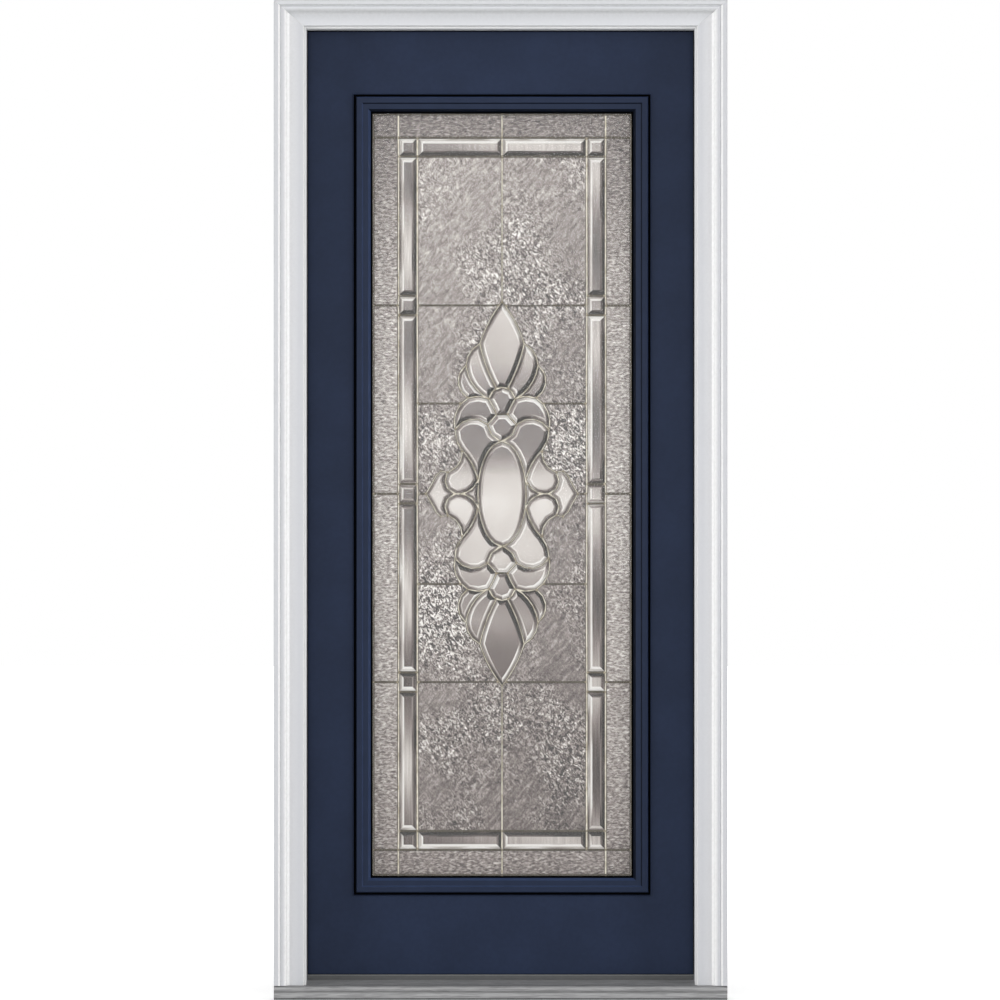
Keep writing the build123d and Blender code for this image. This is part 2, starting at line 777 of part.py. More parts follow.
def make_leaded_panel():
    with BuildSketch() as glass:
        with Locations((0, -pattern_rise)):
            Rectangle(pane_width - 2 * came_inset, pane_height - 2 * came_inset)
        add(came_sketch(), mode=Mode.SUBTRACT)
    pieces = [cut_outline(face) for face in glass.sketch.faces()]

    with BuildPart() as network:
        with BuildSketch(panel_plane(-came_depth / 2)):
            with Locations((0, -pattern_rise)):
                Rectangle(pane_width, pane_height)
            add(pieces, mode=Mode.SUBTRACT)
        extrude(amount=came_depth)
    save(network.part, "came_network")

    groups = {name: [] for name in ornament_pieces}
    for name in ("glass_border", "glass_border_bevels", "glass_field"):
        groups[name] = []
    for piece in pieces:
        middle = piece.center()
        spot = (abs(middle.X), abs(middle.Y))
        if spot[0] > column_outer or spot[1] > row_outer:
            groups["glass_border"].append(piece)
            continue
        if spot[0] > column_inner or spot[1] > row_inner:
            groups["glass_border_bevels"].append(piece)
            continue
        for name, points in ornament_pieces.items():
            marks = [(a * x, b * z) for x, z in points for a in (-1, 1) for b in (-1, 1)]
            if any(piece.is_inside((x, z, 0)) for x, z in marks):
                groups[name].append(piece)
                break
        else:
            groups["glass_field"].append(piece)
    for name, faces in groups.items():
        if name in ("glass_border", "glass_field"):
            sheets = [extrude(face, amount=texture_glass) for face in faces]
            save(panel_plane(-texture_glass / 2) * Compound(sheets), name)
        else:
            sheets = [bevelled_piece(face) for face in faces]
            save(panel_plane(-bevel_glass / 2) * Compound(sheets), name)


make_sill()
make_jambs()
make_casing()
make_weatherstrips()
make_hinges()
make_slab()
make_lite_frames()
make_panes()
make_leaded_panel()
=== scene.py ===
import json
import math
import random
import bmesh
import bpy
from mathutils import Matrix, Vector

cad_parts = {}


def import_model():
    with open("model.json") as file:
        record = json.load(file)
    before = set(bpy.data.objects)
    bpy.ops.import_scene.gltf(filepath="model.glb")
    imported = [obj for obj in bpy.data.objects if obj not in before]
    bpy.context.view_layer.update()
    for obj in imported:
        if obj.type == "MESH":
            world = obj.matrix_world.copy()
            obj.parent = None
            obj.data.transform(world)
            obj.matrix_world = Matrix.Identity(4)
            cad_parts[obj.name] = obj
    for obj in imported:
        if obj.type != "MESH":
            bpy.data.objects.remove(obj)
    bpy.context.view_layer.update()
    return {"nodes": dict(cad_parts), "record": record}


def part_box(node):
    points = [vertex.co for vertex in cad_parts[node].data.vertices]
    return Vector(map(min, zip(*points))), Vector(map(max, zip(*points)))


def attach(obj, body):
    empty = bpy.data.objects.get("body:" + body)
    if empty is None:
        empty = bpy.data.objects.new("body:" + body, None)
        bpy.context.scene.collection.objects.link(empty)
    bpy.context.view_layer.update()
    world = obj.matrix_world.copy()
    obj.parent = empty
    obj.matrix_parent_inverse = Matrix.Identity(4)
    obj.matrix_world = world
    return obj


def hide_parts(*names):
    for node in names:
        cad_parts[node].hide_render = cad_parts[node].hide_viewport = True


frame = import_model()
nodes = frame["nodes"]

# Camera: level and square on to the door; one pixel is 2.08 mm on the casing's face
image_size = 1000
pixel = 0.00208
camera_distance = 15.0
middle_column = 500.6  # where x = 0 shows
middle_row = 500  # pixels from the floor up to the camera's level
sensor_width = 36
far_clip = 60
casing_face_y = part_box("casing_left")[0].y

# Places read from the frame
network_low, network_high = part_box("came_network")
lite_low, lite_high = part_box("lite_frame_outer")
inner_lite_low, inner_lite_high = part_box("lite_frame_inner")
slab_front_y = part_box("skin_outer")[0].y
cap_low, cap_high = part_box("sill_cap")
panel_middle_z = (network_low.z + network_high.z) / 2
hinge_axis = Vector(frame["record"]["behaviour"]["joints"][0]["pos_m"])

# How near counts as the same, in metres
weld_distance = 1e-6
exact = 2e-5
same_level = 1e-4
nearly_level = 4e-4

# How far a face's normal points along Y
square_on = 0.99
inner_side = 0.9

# Angles in degrees: faces join below the first, and edges stay sharp above the others
same_plane = 0.5
facet_sharpness = 11.0
edge_sharpness = 25.0

# Came network and its solder, in metres
frame_bar = 0.0387
perimeter_show = 0.004
widest_came = 0.0052
straight_side = 0.01
flank_width = 0.0013
crest_rise = 0.0005
joint_reach = 0.008
joint_turn = 35.0
solder_radius = 0.0031
solder_height = 0.0011

# Sealant, gasket and edge channel: distances in from the outer lite frame's edge, and heights
bead_start = 0.0014
bead_end = 0.0061
bead_rise = 0.0019
bead_sink = 0.0008
bead_shoulder = 0.7
bead_crown = 0.001
gasket_start = 0.0374
gasket_end = 0.0411
gasket_rise = 0.0005
gasket_corner = 0.0009
gasket_ease = 0.0004
gasket_thickness = 0.0012
glass_gap = 0.0001
channel_start = 0.0403
channel_line = 0.0423
channel_end = 0.0452
channel_ease = 0.0004
channel_rise = 0.0008

# Bevels of the border's strips, and of its pieces smaller than small_piece
wider_bevel = 0.0016
wider_small_bevel = 0.0024
small_piece = 0.04

# Sill, screws and plugs; leaf_screws are (y, z) from a leaf's front edge and its middle, and
# head_profile is (share of the radius, share of the rise)
sill_groove_z = 0.0162
head_sides = 20
head_profile = ((1.0, 0.0), (1.0, 0.5), (0.86, 1.0))
leaf_gap = 0.0025
leaf_screws = ((0.013, 0.036), (0.028, 0.014), (0.028, -0.014), (0.013, -0.036))
leaf_screw_radius = 0.0043
leaf_screw_rise = 0.0003
cap_screw_places = (0.08, 0.36, 0.64, 0.92)
cap_screw_back = 0.03
cap_screw_drop = 0.004
cap_screw_radius = 0.005
cap_screw_rise = 0.0004
recess_reach = 0.6
recess_width = 0.22
recess_depth = 0.0001
recess_lift = 0.00006
plug_radius = 0.0048
plug_rise = 0.0006
plug_inset = 0.0141
side_plugs = 7
side_plug_margin = 0.35
end_plugs = 3
end_plug_margin = 0.5

# Colours, as linear values
navy = (0.0174, 0.0276, 0.0600)
casing_white = (0.60, 0.608, 0.635)
# Painted highlight and painted shade for the casing's mouldings, by the way they face
casing_painted_highlight = (0.99, 0.99, 0.99)
casing_painted_shade = (0.52, 0.53, 0.54)
jamb_white = (0.78, 0.785, 0.79)
nose_grey = (0.40, 0.40, 0.405)
# The sill deck's painted shade
deck_painted_shade = (0.300, 0.302, 0.306)
composite_grey = (0.085, 0.087, 0.088)
# A painted highlight for the sill cap's lip
lip_painted_highlight = (0.30, 0.31, 0.31)
foam_black = (0.006, 0.006, 0.007)
wood_light = (0.62, 0.43, 0.25)
wood_dark = (0.42, 0.26, 0.13)
core_cream = (0.72, 0.64, 0.42)
champagne = (0.78, 0.73, 0.62)
tarnish_tone = (0.60, 0.56, 0.49)
# Came flanks: partly patina, partly painted shade
came_flank_patina_and_shade = (0.11, 0.092, 0.068)
# Level cames: painted darker, as painted shade
level_came_painted_shade = (0.10, 0.082, 0.058)
perimeter_brown = (0.12, 0.098, 0.075)
solder_gold = (0.50, 0.43, 0.31)
steel_grey = (0.56, 0.56, 0.55)
# Painted shadow for the screws' recesses
recess_shadow_dark = (0.05, 0.05, 0.05)
pane_tint = (0.9, 0.93, 0.92)
pane_alpha = 0.04
floor_grey = (0.85, 0.85, 0.85)
black = (0, 0, 0)
white = (1, 1, 1)

# The panel's glass: round spots where the field is lively, as (x, z) and reach, and how facets turn over
lively_spots = (((0.16, 1.15), 0.13), ((-0.13, 0.80), 0.15))
turn_over = 5.0

# Light and floor
floor_size = 60
lamp_target = Vector((0, 0.05, 1.0))
world_level = 0.43
side_lamp_watts = 76
front_lamp_watts = 108
back_lamp_watts = 85


def camera():
    data = bpy.data.cameras.new("camera")
    data.sensor_width = sensor_width
    data.lens = camera_distance * sensor_width / (image_size * pixel)
    data.clip_end = far_clip
    eye = bpy.data.objects.new("camera", data)
    across = (image_size / 2 - middle_column) * pixel
    up = middle_row * pixel
    eye.location = (across, casing_face_y - camera_distance, up)
    eye.rotation_euler = (math.pi / 2, 0, 0)
    bpy.context.scene.collection.objects.link(eye)
    bpy.context.scene.camera = eye


# Node trees
def fresh_material(name):
    made = bpy.data.materials.new(name)
    made.use_nodes = True
    tree = made.node_tree
    tree.nodes.clear()
    output = tree.nodes.new("ShaderNodeOutputMaterial")
    shader = tree.nodes.new("ShaderNodeBsdfPrincipled")
    tree.links.new(shader.outputs["BSDF"], output.inputs["Surface"])
    return made, tree, shader


def colour4(rgb):
    return (*rgb, 1.0)


def grey(level):
    return (level, level, level)


def scaled(rgb, factor):
    return tuple(channel * factor for channel in rgb)


def add_node(tree, kind, **inputs):
    """A new node with its inputs linked or set, by their sockets' names."""
    made = tree.nodes.new(kind)
    for name, value in inputs.items():
        socket = made.inputs[name]
        if isinstance(value, bpy.types.NodeSocket):
            tree.links.new(value, socket)
        else:
            socket.default_value = value
    return made


def place(tree, scale=(1, 1, 1), slant=0.0):
    """Object coordinates in metres, turned in the wall's plane by slant degrees, then times scale."""
    where = tree.nodes.new("ShaderNodeTexCoord")
    mapping = tree.nodes.new("ShaderNodeMapping")
    mapping.vector_type = "TEXTURE"
    mapping.inputs["Rotation"].default_value = (0, math.radians(slant), 0)
    mapping.inputs["Scale"].default_value = [1 / factor for factor in scale]
    tree.links.new(where.outputs["Object"], mapping.inputs["Vector"])
    return mapping.outputs["Vector"]


def spot(tree):
    """Object coordinates in metres, as separate outputs X, Y and Z."""
    return add_node(tree, "ShaderNodeSeparateXYZ", Vector=place(tree)).outputs


def facing(tree):
    """The direction a surface faces, as separate outputs X, Y and Z."""
    where = tree.nodes.new("ShaderNodeTexCoord")
    return add_node(tree, "ShaderNodeSeparateXYZ", Vector=where.outputs["Normal"]).outputs


def noise(tree, vector, scale, detail=2.0, roughness=0.5, distortion=0.0):
    settings = {"Scale": scale, "Detail": detail, "Roughness": roughness, "Distortion": distortion}
    return add_node(tree, "ShaderNodeTexNoise", Vector=vector, **settings).outputs["Fac"]


def ramp(tree, value, *stops):
    """Colour ramp: stops are (position, rgb)."""
    made = tree.nodes.new("ShaderNodeValToRGB")
    tree.links.new(value, made.inputs["Fac"])
    elements = made.color_ramp.elements
    while len(elements) < len(stops):
        elements.new(0.5)
    for element, (position, rgb) in zip(elements, stops):
        element.position = position
        element.color = colour4(rgb)
    return made.outputs["Color"]


def math_node(tree, operation, first, second=0.0):
    made = tree.nodes.new("ShaderNodeMath")
    made.operation = operation
    for socket, value in zip(made.inputs, (first, second)):
        if isinstance(value, bpy.types.NodeSocket):
            tree.links.new(value, socket)
        else:
            socket.default_value = value
    return made.outputs["Value"]


def weighted(tree, start, *terms):
    """A sum: start plus each (weight, value)."""
    total = start
    for weight, value in terms:
        total = math_node(tree, "ADD", total, math_node(tree, "MULTIPLY", value, weight))
    return total


def mix_colour(tree, factor, first, second, blend="MIX"):
    """Two colours mixed by a factor; each of the three is a socket or a plain value."""
    made = tree.nodes.new("ShaderNodeMix")
    made.data_type = "RGBA"
    made.blend_type = blend
    for name, value in (("Factor", factor), ("A", first), ("B", second)):
        socket = next(s for s in made.inputs if s.name == name and s.enabled)
        if isinstance(value, bpy.types.NodeSocket):
            tree.links.new(value, socket)
        else:
            socket.default_value = value if name == "Factor" else colour4(value)
    return next(s for s in made.outputs if s.enabled)


def multiplied(tree, first, second):
    return mix_colour(tree, 1.0, first, second, "MULTIPLY")


def set_surface(tree, shader, colour, **values):
    """Link the colour, and set the rest by their sockets' names, with _ for a space."""
    tree.links.new(colour, shader.inputs["Base Color"])
    for name, value in values.items():
        shader.inputs[name.replace("_", " ")].default_value = value


def bump(tree, shader, height, distance, strength):
    made = add_node(tree, "ShaderNodeBump", Height=height, Distance=distance, Strength=strength)
    tree.links.new(made.outputs["Normal"], shader.inputs["Normal"])


def turned_from_front(tree):
    """0 where a surface faces straight out of or into the house, 1 where it faces along the wall."""
    return math_node(tree, "SUBTRACT", 1.0, math_node(tree, "ABSOLUTE", facing(tree)["Y"]))


def by_height(tree, *stops):
    """A brightness that follows height: stops are (height in metres, brightness), from the lowest up."""
    low = stops[0][0]
    reach = stops[-1][0] - low
    along = weighted(tree, -low / reach, (1 / reach, spot(tree)["Z"]))
    return ramp(tree, along, *[((height - low) / reach, grey(level)) for height, level in stops])


# Materials
def painted_fiberglass():
    """Satin navy paint with a faint mottle."""
    made, tree, shader = fresh_material("painted_fiberglass")
    cloud = noise(tree, place(tree), scale=9, detail=3)
    colour = ramp(tree, cloud, (0.35, scaled(navy, 0.93)), (0.65, scaled(navy, 1.08)))
    fleck = ramp(tree, noise(tree, place(tree), scale=120, detail=2), (0.4, grey(0.9)), (0.6, white))
    colour = mix_colour(tree, 0.6, colour, fleck, "MULTIPLY")
    set_surface(tree, shader, colour, Roughness=0.45, Specular_IOR_Level=0.1)
    grain = noise(tree, place(tree, scale=(1, 1, 0.25)), scale=420, detail=3, roughness=0.6)
    bump(tree, shader, grain, distance=0.00006, strength=0.6)
    return made


def painted_lite_frame():
    """The same paint on the lite frames, with light and shade painted in: slopes that face up or right are
    painted lit, the others are painted in shade.
    """
    made, tree, shader = fresh_material("painted_lite_frame")
    face = facing(tree)
    # Painted light and shade: how far a slope faces up and to the right
    lit = weighted(tree, 0.5, (0.5, face["X"]), (0.5, face["Z"]))
    tone = ramp(
        tree,
        lit,
        (0.15, scaled(navy, 0.25)),
        (0.46, scaled(navy, 0.96)),
        (0.54, scaled(navy, 0.96)),
        (0.85, scaled(navy, 1.9)),
    )
    cloud = ramp(tree, noise(tree, place(tree), scale=30, detail=3), (0.35, grey(0.9)), (0.65, white))
    set_surface(tree, shader, multiplied(tree, tone, cloud), Roughness=0.42, Specular_IOR_Level=0.1)
    grain = noise(tree, place(tree), scale=420, detail=3, roughness=0.6)
    bump(tree, shader, grain, distance=0.00005, strength=0.5)
    return made


def white_trim(name, base_white, shade):
    """Satin white casing with light and shade painted in: side mouldings that face the opening are painted
    lit, those that face down are painted in shade.
    """
    made, tree, shader = fresh_material(name)
    face = facing(tree)
    side = math_node(tree, "SIGN", spot(tree)["X"])
    inward = math_node(tree, "MULTIPLY", math_node(tree, "MULTIPLY", face["X"], side), -1.0)
    downward = math_node(tree, "MULTIPLY", face["Z"], -1.0)
    # Painted highlight where a moulding faces the opening, painted shade where it faces down
    lit = ramp(tree, inward, (0.06, black), (0.45, white))
    dim = ramp(tree, downward, (0.04, black), (0.40, white))
    base = mix_colour(tree, lit, base_white, casing_painted_highlight)
    base = mix_colour(tree, dim, base, shade)
    cloud = noise(tree, place(tree), scale=160, detail=4, roughness=0.7)
    mottle = ramp(tree, cloud, (0.38, grey(0.93)), (0.60, white))
    relief = ramp(tree, turned_from_front(tree), (0.0, grey(0.25)), (0.05, white))
    colour = mix_colour(tree, relief, base, mottle, "MULTIPLY")
    set_surface(tree, shader, colour, Roughness=0.38, Specular_IOR_Level=0.35)
    specks = noise(tree, place(tree), scale=700, detail=2, roughness=0.6)
    bump(tree, shader, specks, distance=0.0003, strength=0.5)
    return made


def white_jamb():
    """Satin white paint on wood, with the grain faintly raised along each jamb."""
    made, tree, shader = fresh_material("white_jamb")
    cloud = noise(tree, place(tree, scale=(1, 1, 0.08)), scale=160, detail=4, roughness=0.6)
    colour = ramp(tree, cloud, (0.3, scaled(jamb_white, 0.95)), (0.7, jamb_white))
    set_surface(tree, shader, colour, Roughness=0.4, Specular_IOR_Level=0.35)
    bump(tree, shader, cloud, distance=0.0001, strength=0.5)
    return made


def brushed_metal(name, base, roughness):
    """Metal brushed in fine level streaks."""
    made, tree, shader = fresh_material(name)
    streak = noise(tree, place(tree, scale=(1, 1, 30)), scale=300, detail=3, roughness=0.6)
    colour = ramp(tree, streak, (0.3, scaled(base, 0.8)), (0.7, scaled(base, 1.12)))
    set_surface(tree, shader, colour, Metallic=1.0, Roughness=roughness)
    bump(tree, shader, streak, distance=0.00002, strength=0.5)
    return made


def came_metal(name, crest, flank):
    """Came: a crest painted bright as a highlight and flanks painted dark, partly patina and partly painted
    shade, with a little tarnish in patches.
    """
    made, tree, shader = fresh_material(name)
    # Painted highlight on the crest and painted shade on the flanks, which are partly patina
    across = ramp(tree, turned_from_front(tree), (0.002, crest), (0.022, flank))
    patch = noise(tree, place(tree), scale=45, detail=4, roughness=0.65)
    tarnish = ramp(tree, patch, (0.36, tarnish_tone), (0.56, white))
    colour = multiplied(tree, across, tarnish)
    set_surface(tree, shader, colour, Metallic=0.45, Roughness=0.5, Specular_IOR_Level=0.2)
    bump(tree, shader, noise(tree, place(tree), scale=900, detail=2), distance=0.00003, strength=0.5)
    return made


def matte(name, dark, pale, scale, roughness, grain=(1, 1, 1), depth=0.0002, gloss=0.25):
    """A dull finish, mottled between a dark and a pale colour."""
    made, tree, shader = fresh_material(name)
    cloud = noise(tree, place(tree, scale=grain), scale=scale, detail=4, roughness=0.65)
    colour = ramp(tree, cloud, (0.3, dark), (0.7, pale))
    set_surface(tree, shader, colour, Roughness=roughness, Specular_IOR_Level=gloss)
    bump(tree, shader, cloud, distance=depth, strength=0.5)
    return made


def sill_aluminium():
    """Mill finish with painted shade: the nose is pale, the slope is painted dull and darker, with darker
    painted bands where its bulges turn and along the groove, and lighter dashes along its ribs.
    """
    made, tree, shader = fresh_material("sill_aluminium")
    upward = facing(tree)["Z"]
    # Painted shade by the way a face turns up
    tone = ramp(tree, upward, (0.0, nose_grey), (0.45, scaled(nose_grey, 0.62)), (0.9, deck_painted_shade))
    # Painted shade along the nose's groove
    from_groove = math_node(tree, "ABSOLUTE", weighted(tree, -sill_groove_z, (1.0, spot(tree)["Z"])))
    centimetres = math_node(tree, "MULTIPLY", from_groove, 100.0)
    groove = ramp(tree, centimetres, (0.05, grey(0.60)), (0.45, white))
    dash = noise(tree, place(tree, scale=(0.05, 1, 1)), scale=420, detail=2, roughness=0.6)
    dash_tone = ramp(tree, dash, (0.40, grey(0.72)), (0.52, grey(0.95)), (0.64, white))
    streak = noise(tree, place(tree, scale=(0.02, 1, 1)), scale=500, detail=3, roughness=0.6)
    drawn = ramp(tree, streak, (0.3, grey(0.88)), (0.7, white))
    colour = multiplied(tree, multiplied(tree, tone, groove), multiplied(tree, dash_tone, drawn))
    set_surface(tree, shader, colour, Metallic=0.35, Roughness=0.5)
    bump(tree, shader, streak, distance=0.00005, strength=0.5)
    return made


def sill_cap_composite():
    """Dull composite with faint scuffs, and a painted highlight along the lip's top edge, where its faces
    turn up.
    """
    made, tree, shader = fresh_material("sill_cap_composite")
    # Painted highlight on faces that turn up
    edge = ramp(tree, facing(tree)["Z"], (0.25, composite_grey), (0.6, lip_painted_highlight))
    cloud = noise(tree, place(tree, scale=(0.3, 1, 1)), scale=200, detail=4, roughness=0.65)
    scuffs = ramp(tree, cloud, (0.3, grey(0.8)), (0.7, white))
    set_surface(tree, shader, multiplied(tree, edge, scuffs), Roughness=0.6)
    bump(tree, shader, scuffs, distance=0.0001, strength=0.5)
    return made


def clear_glass():
    """Clear float glass with a thin film of reflection, so that the panel shows through it."""
    made, tree, shader = fresh_material("clear_glass")
    shader.inputs["Base Color"].default_value = colour4(pane_tint)
    shader.inputs["Roughness"].default_value = 0.02
    shader.inputs["Alpha"].default_value = pane_alpha
    smear = noise(tree, place(tree), scale=3, detail=2)
    bump(tree, shader, smear, distance=0.00005, strength=0.2)
    return made


def glass_tone(tree, brightness):
    """The panel glass's colour for a brightness from 0 to 1: mauve where dark, warm white where pale. The
    brightness is painted light, what the glass lets through and reflects.
    """
    return ramp(
        tree,
        brightness,
        (0.18, (0.024, 0.018, 0.016)),
        (0.42, (0.140, 0.110, 0.102)),
        (0.55, (0.243, 0.203, 0.190)),
        (0.70, (0.425, 0.376, 0.350)),
        (0.85, (0.665, 0.618, 0.580)),
        (1.00, (0.950, 0.925, 0.890)),
    )


def lively_spot(tree, at, middle, reach):
    """1.25 at the middle of a round spot in the field, less by 1 for each reach away from it."""
    squares = [
        math_node(tree, "POWER", weighted(tree, -centre / reach, (1 / reach, at[axis])), 2.0)
        for axis, centre in zip(("X", "Z"), middle)
    ]
    away = math_node(tree, "SQRT", math_node(tree, "ADD", *squares))
    return math_node(tree, "SUBTRACT", 1.25, away)


def field_glass():
    """Seedy glass: short dark and bright strokes, strong in patches and soft between them."""
    made, tree, shader = fresh_material("field_glass")
    slanted = place(tree, scale=(1, 1, 0.55), slant=-35)
    crossed = place(tree, scale=(1, 1, 0.25), slant=40)
    fine = noise(tree, slanted, scale=165, detail=2, roughness=0.5, distortion=1.8)
    swirl = noise(tree, place(tree, scale=(1, 1, 0.7)), scale=60, detail=2, roughness=0.6, distortion=2.5)
    streak = noise(tree, crossed, scale=140, detail=2, roughness=0.55, distortion=0.8)
    patch = ramp(tree, noise(tree, place(tree), scale=6, detail=1), (0.40, grey(0.12)), (0.60, grey(0.60)))
    at = spot(tree)
    for middle, reach in lively_spots:
        patch = math_node(tree, "MAXIMUM", patch, lively_spot(tree, at, middle, reach))
    strokes = math_node(tree, "MULTIPLY", math_node(tree, "SUBTRACT", fine, 0.5), patch)
    # Painted light: the glass grows brighter with height, and darker to the right through the X term below
    level = by_height(
        tree,
        (0.20, 0.47),
        (0.55, 0.50),
        (0.80, 0.55),
        (1.20, 0.54),
        (1.50, 0.59),
        (1.80, 0.64),
    )
    brightness = weighted(
        tree,
        level,
        (4.2, strokes),
        (0.60, math_node(tree, "SUBTRACT", streak, 0.5)),
        (0.30, math_node(tree, "SUBTRACT", swirl, 0.5)),
        (-0.25, at["X"]),
    )
    set_surface(tree, shader, glass_tone(tree, brightness), Roughness=0.25, Specular_IOR_Level=0.3)
    bump(tree, shader, math_node(tree, "ADD", fine, swirl), distance=0.0005, strength=0.5)
    return made


def border_glass():
    """Rippled glass: short waves that run across, one above the other."""
    made, tree, shader = fresh_material("border_glass")
    level_place = place(tree, scale=(0.45, 1, 1))
    wave = noise(tree, level_place, scale=250, detail=1, roughness=0.5, distortion=0.6)
    tint = noise(tree, place(tree), scale=12, detail=2)
    # Painted light: brighter at middle heights, darker near the bottom and the top
    level = by_height(
        tree,
        (0.20, 0.47),
        (0.35, 0.61),
        (0.60, 0.69),
        (1.00, 0.73),
        (1.50, 0.68),
        (1.86, 0.45),
    )
    brightness = weighted(
        tree,
        level,
        (1.1, math_node(tree, "SUBTRACT", wave, 0.5)),
        (0.12, math_node(tree, "SUBTRACT", tint, 0.5)),
    )
    set_surface(tree, shader, glass_tone(tree, brightness), Roughness=0.25, Specular_IOR_Level=0.3)
    bump(tree, shader, wave, distance=0.0008, strength=0.5)
    return made


def painted_facet_flash(tree, lift, slant):
    """How a ground facet flashes, as a painted reflection: by the way it faces, turned over below the
    middle of the panel.
    """
    face = facing(tree)
    squares = [(1.0, math_node(tree, "POWER", face[axis], 2.0)) for axis in ("X", "Z")]
    length = math_node(tree, "SQRT", weighted(tree, 0.0001, *squares))
    across = math_node(tree, "DIVIDE", face["X"], length)
    up = math_node(tree, "DIVIDE", face["Z"], length)
    above = weighted(tree, -panel_middle_z * turn_over, (turn_over, spot(tree)["Z"]))
    above = math_node(tree, "MAXIMUM", math_node(tree, "MINIMUM", above, 1.0), -1.0)
    lifted = math_node(tree, "MULTIPLY", up, above)
    corner = math_node(tree, "MULTIPLY", across, lifted)
    drift = math_node(tree, "SUBTRACT", noise(tree, place(tree), scale=13, detail=1), 0.5)
    depth = weighted(tree, -glass_front_y / bevel_drop, (1 / bevel_drop, spot(tree)["Y"]))
    bend = math_node(tree, "SINE", weighted(tree, 0.9, (5.4, depth), (5.0, drift)))
    return weighted(tree, 0.60, (0.70, corner), (lift, lifted), (slant, across), (1.0, drift), (0.17, bend))


def ornament_flats(tree):
    """The ornament's flats carry the same soft bands of painted light from piece to piece."""
    bands = by_height(
        tree,
        (0.66, 0.43),
        (0.72, 0.46),
        (0.79, 0.63),
        (0.84, 0.56),
        (0.91, 0.79),
        (1.04, 0.87),
        (1.09, 0.79),
        (1.14, 0.46),
        (1.22, 0.42),
        (1.28, 0.54),
        (1.33, 0.72),
        (1.43, 0.79),
    )
    haze = math_node(tree, "SUBTRACT", noise(tree, place(tree), scale=20, detail=2), 0.5)
    return weighted(tree, bands, (0.10, haze))


def strip_flats(tree):
    """The border strips' flats carry painted light that runs from dark to pale and back along their length.
    """
    at = spot(tree)
    turn = weighted(tree, 1.07, (17.45, at["Z"]), (8.1, at["X"]))
    brushed = noise(tree, place(tree, scale=(12, 1, 0.6)), scale=22, detail=2)
    streak = math_node(tree, "SUBTRACT", brushed, 0.5)
    return weighted(tree, 0.57, (0.24, math_node(tree, "SINE", turn)), (0.30, streak), (-0.15, at["X"]))


def bevelled_glass(name, flats, lift, slant):
    """Polished glass with ground bevels and painted light: flats shade gently, facets flash as painted
    reflections.
    """
    made, tree, shader = fresh_material(name)
    is_facet = ramp(tree, turned_from_front(tree), (0.012, black), (0.035, white))
    brightness = mix_colour(tree, is_facet, flats(tree), painted_facet_flash(tree, lift, slant))
    set_surface(tree, shader, glass_tone(tree, brightness), Roughness=0.12, Specular_IOR_Level=0.3)
    return made


# Shapes
def welded(node):
    """A copy of a node's mesh with its corners welded, open for editing."""
    shape = bmesh.new()
    shape.from_mesh(nodes[node].data)
    bmesh.ops.remove_doubles(shape, verts=shape.verts, dist=weld_distance)
    return shape


def join_flat_faces(shape):
    """Join the faces of each plane, except across seams and materials."""
    bmesh.ops.dissolve_limit(
        shape,
        angle_limit=math.radians(same_plane),
        verts=shape.verts,
        edges=shape.edges,
        delimit={"NORMAL", "MATERIAL", "SEAM"},
    )


def smooth_piece(name, shape):
    """The shape as an object of the scene, with its faces smooth."""
    for face in shape.faces:
        face.smooth = True
    mesh = bpy.data.meshes.new(name)
    shape.to_mesh(mesh)
    shape.free()
    piece = bpy.data.objects.new(name, mesh)
    bpy.context.scene.collection.objects.link(piece)
    return piece


def finished(shape, node, sharp_degrees, edge_radius=0.0):
    """The shape as a piece that stands for its node, with smooth curves and eased hard edges."""
    for edge in shape.edges:
        edge.smooth = len(edge.link_faces) == 2 and edge.calc_face_angle(0) < math.radians(sharp_degrees)
    piece = smooth_piece(f"{node}_shape", shape)
    if edge_radius:
        ease = piece.modifiers.new("eased edges", "BEVEL")
        ease.width = edge_radius
        ease.segments = 2
        ease.limit_method = "ANGLE"
        ease.angle_limit = math.radians(sharp_degrees)
        ease.harden_normals = True
    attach(piece, body_of(node))
    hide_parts(node)
    return piece


def refined(node, sharp_degrees, edge_radius=0.0):
    """A piece that stands for a node, with the node's shape."""
    shape = welded(node)
    join_flat_faces(shape)
    return finished(shape, node, sharp_degrees, edge_radius)


def paint(piece, *materials):
    """Give a piece its materials. Clearing resets which face has which, so only old ones are cleared."""
    if piece.data.materials:
        piece.data.materials.clear()
    for material in materials:
        piece.data.materials.append(material)


def body_of(node):
    return next(body for body, members in frame["record"]["behaviour"]["bodies"].items() if node in members)


def new_piece(name, shape, body, slot, *materials):
    """A piece of its own that rides on a body."""
    bmesh.ops.recalc_face_normals(shape, faces=shape.faces)
    piece = smooth_piece(name, shape)
    paint(piece, *materials)
    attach(piece, body)


def bevel_levels(node):
    """The depths of a bevelled node's flats and of its edges."""
    depths = sorted({round(vert.co.y, 5) for vert in nodes[node].data.vertices})
    return depths[0], depths[1]


def wider_bevels(node):
    """The border's strips and squares with their ground bevels as wide as the real ones."""
    shape = welded(node)
    join_flat_faces(shape)
    for face in shape.faces:
        if face.normal.y < -square_on and abs(face.verts[0].co.y - glass_front_y) < same_level:
            middle = face.calc_center_bounds()
            span = max((vert.co - middle).length for vert in face.verts)
            step = wider_small_bevel if span < small_piece else wider_bevel
            for vert in face.verts:
                vert.co.x -= math.copysign(step, vert.co.x - middle.x)
                vert.co.z -= math.copysign(step, vert.co.z - middle.z)
    return finished(shape, node, facet_sharpness)


